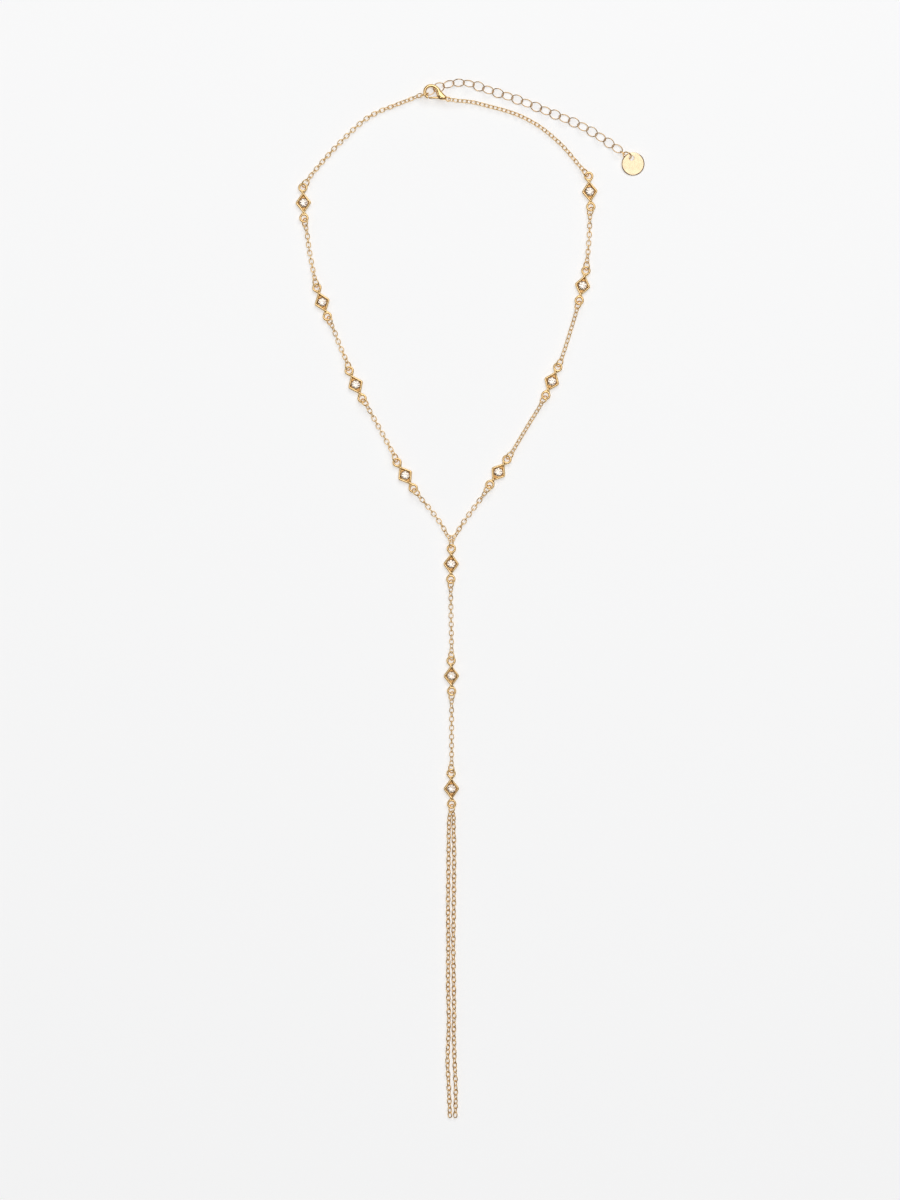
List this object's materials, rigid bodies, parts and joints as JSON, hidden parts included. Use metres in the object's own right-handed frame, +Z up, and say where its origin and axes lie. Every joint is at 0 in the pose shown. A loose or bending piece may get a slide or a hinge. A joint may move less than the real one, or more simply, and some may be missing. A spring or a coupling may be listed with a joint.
{
  "type": "necklace",
  "caption": "Y necklace of fine chain with lozenge settings holding round crystals, a drop ending in a two-strand tassel, a lobster clasp, an extender chain and a bare disc tag.",
  "frame": {"origin": "middle of the necklace's box, on the surface that it lies on", "axes": "+Z up from that surface, +Y along the drop from the tassel's end to the clasp"},
  "size_m": [0.1268, 0.3778, 0.0036],
  "materials": {
    "gold": "polished gold plating",
    "extender_gold": "polished rosier gold plating",
    "crystal": "clear cut crystal",
    "tag": "polished pale gold plating"
  },
  "bodies": {
    "necklace": {"setting_left_1": "gold", "setting_left_2": "gold", "setting_left_3": "gold", "setting_left_4": "gold", "setting_right_1": "gold", "setting_right_2": "gold", "setting_right_3": "gold", "setting_right_4": "gold", "setting_drop_1": "gold", "setting_drop_2": "gold", "setting_drop_3": "gold", "stone_left_1": "crystal", "stone_left_2": "crystal", "stone_left_3": "crystal", "stone_left_4": "crystal", "stone_right_1": "crystal", "stone_right_2": "crystal", "stone_right_3": "crystal", "stone_right_4": "crystal", "stone_drop_1": "crystal", "stone_drop_2": "crystal", "stone_drop_3": "crystal", "chain_left_1": "gold", "chain_left_2": "gold", "chain_left_3": "gold", "chain_left_4": "gold", "chain_left_5": "gold", "chain_right_1": "gold", "chain_right_2": "gold", "chain_right_3": "gold", "chain_right_4": "gold", "chain_right_5": "gold", "chain_drop_1": "gold", "chain_drop_2": "gold", "joining_ring": "gold", "joining_jump_ring": "gold", "tassel_jump_ring": "gold", "tassel_strand_1": "gold", "tassel_strand_2": "gold", "clasp_body": "gold", "end_ring": "gold", "extender_chain": "extender_gold", "tag_rings": "gold", "disc_tag": "tag"},
    "lever": {"clasp_lever": "gold"}
  },
  "joints": [
    {"name": "clasp_lever_hinge", "type": "hinge", "parent": "necklace", "child": "lever", "pos_m": [-0.01071, 0.18193, 0.00227], "axis": [0, 0, -1], "range_deg": [0, 24], "stiffness_Nm_per_rad": 0.002, "springref_deg": -5.73}
  ]
}
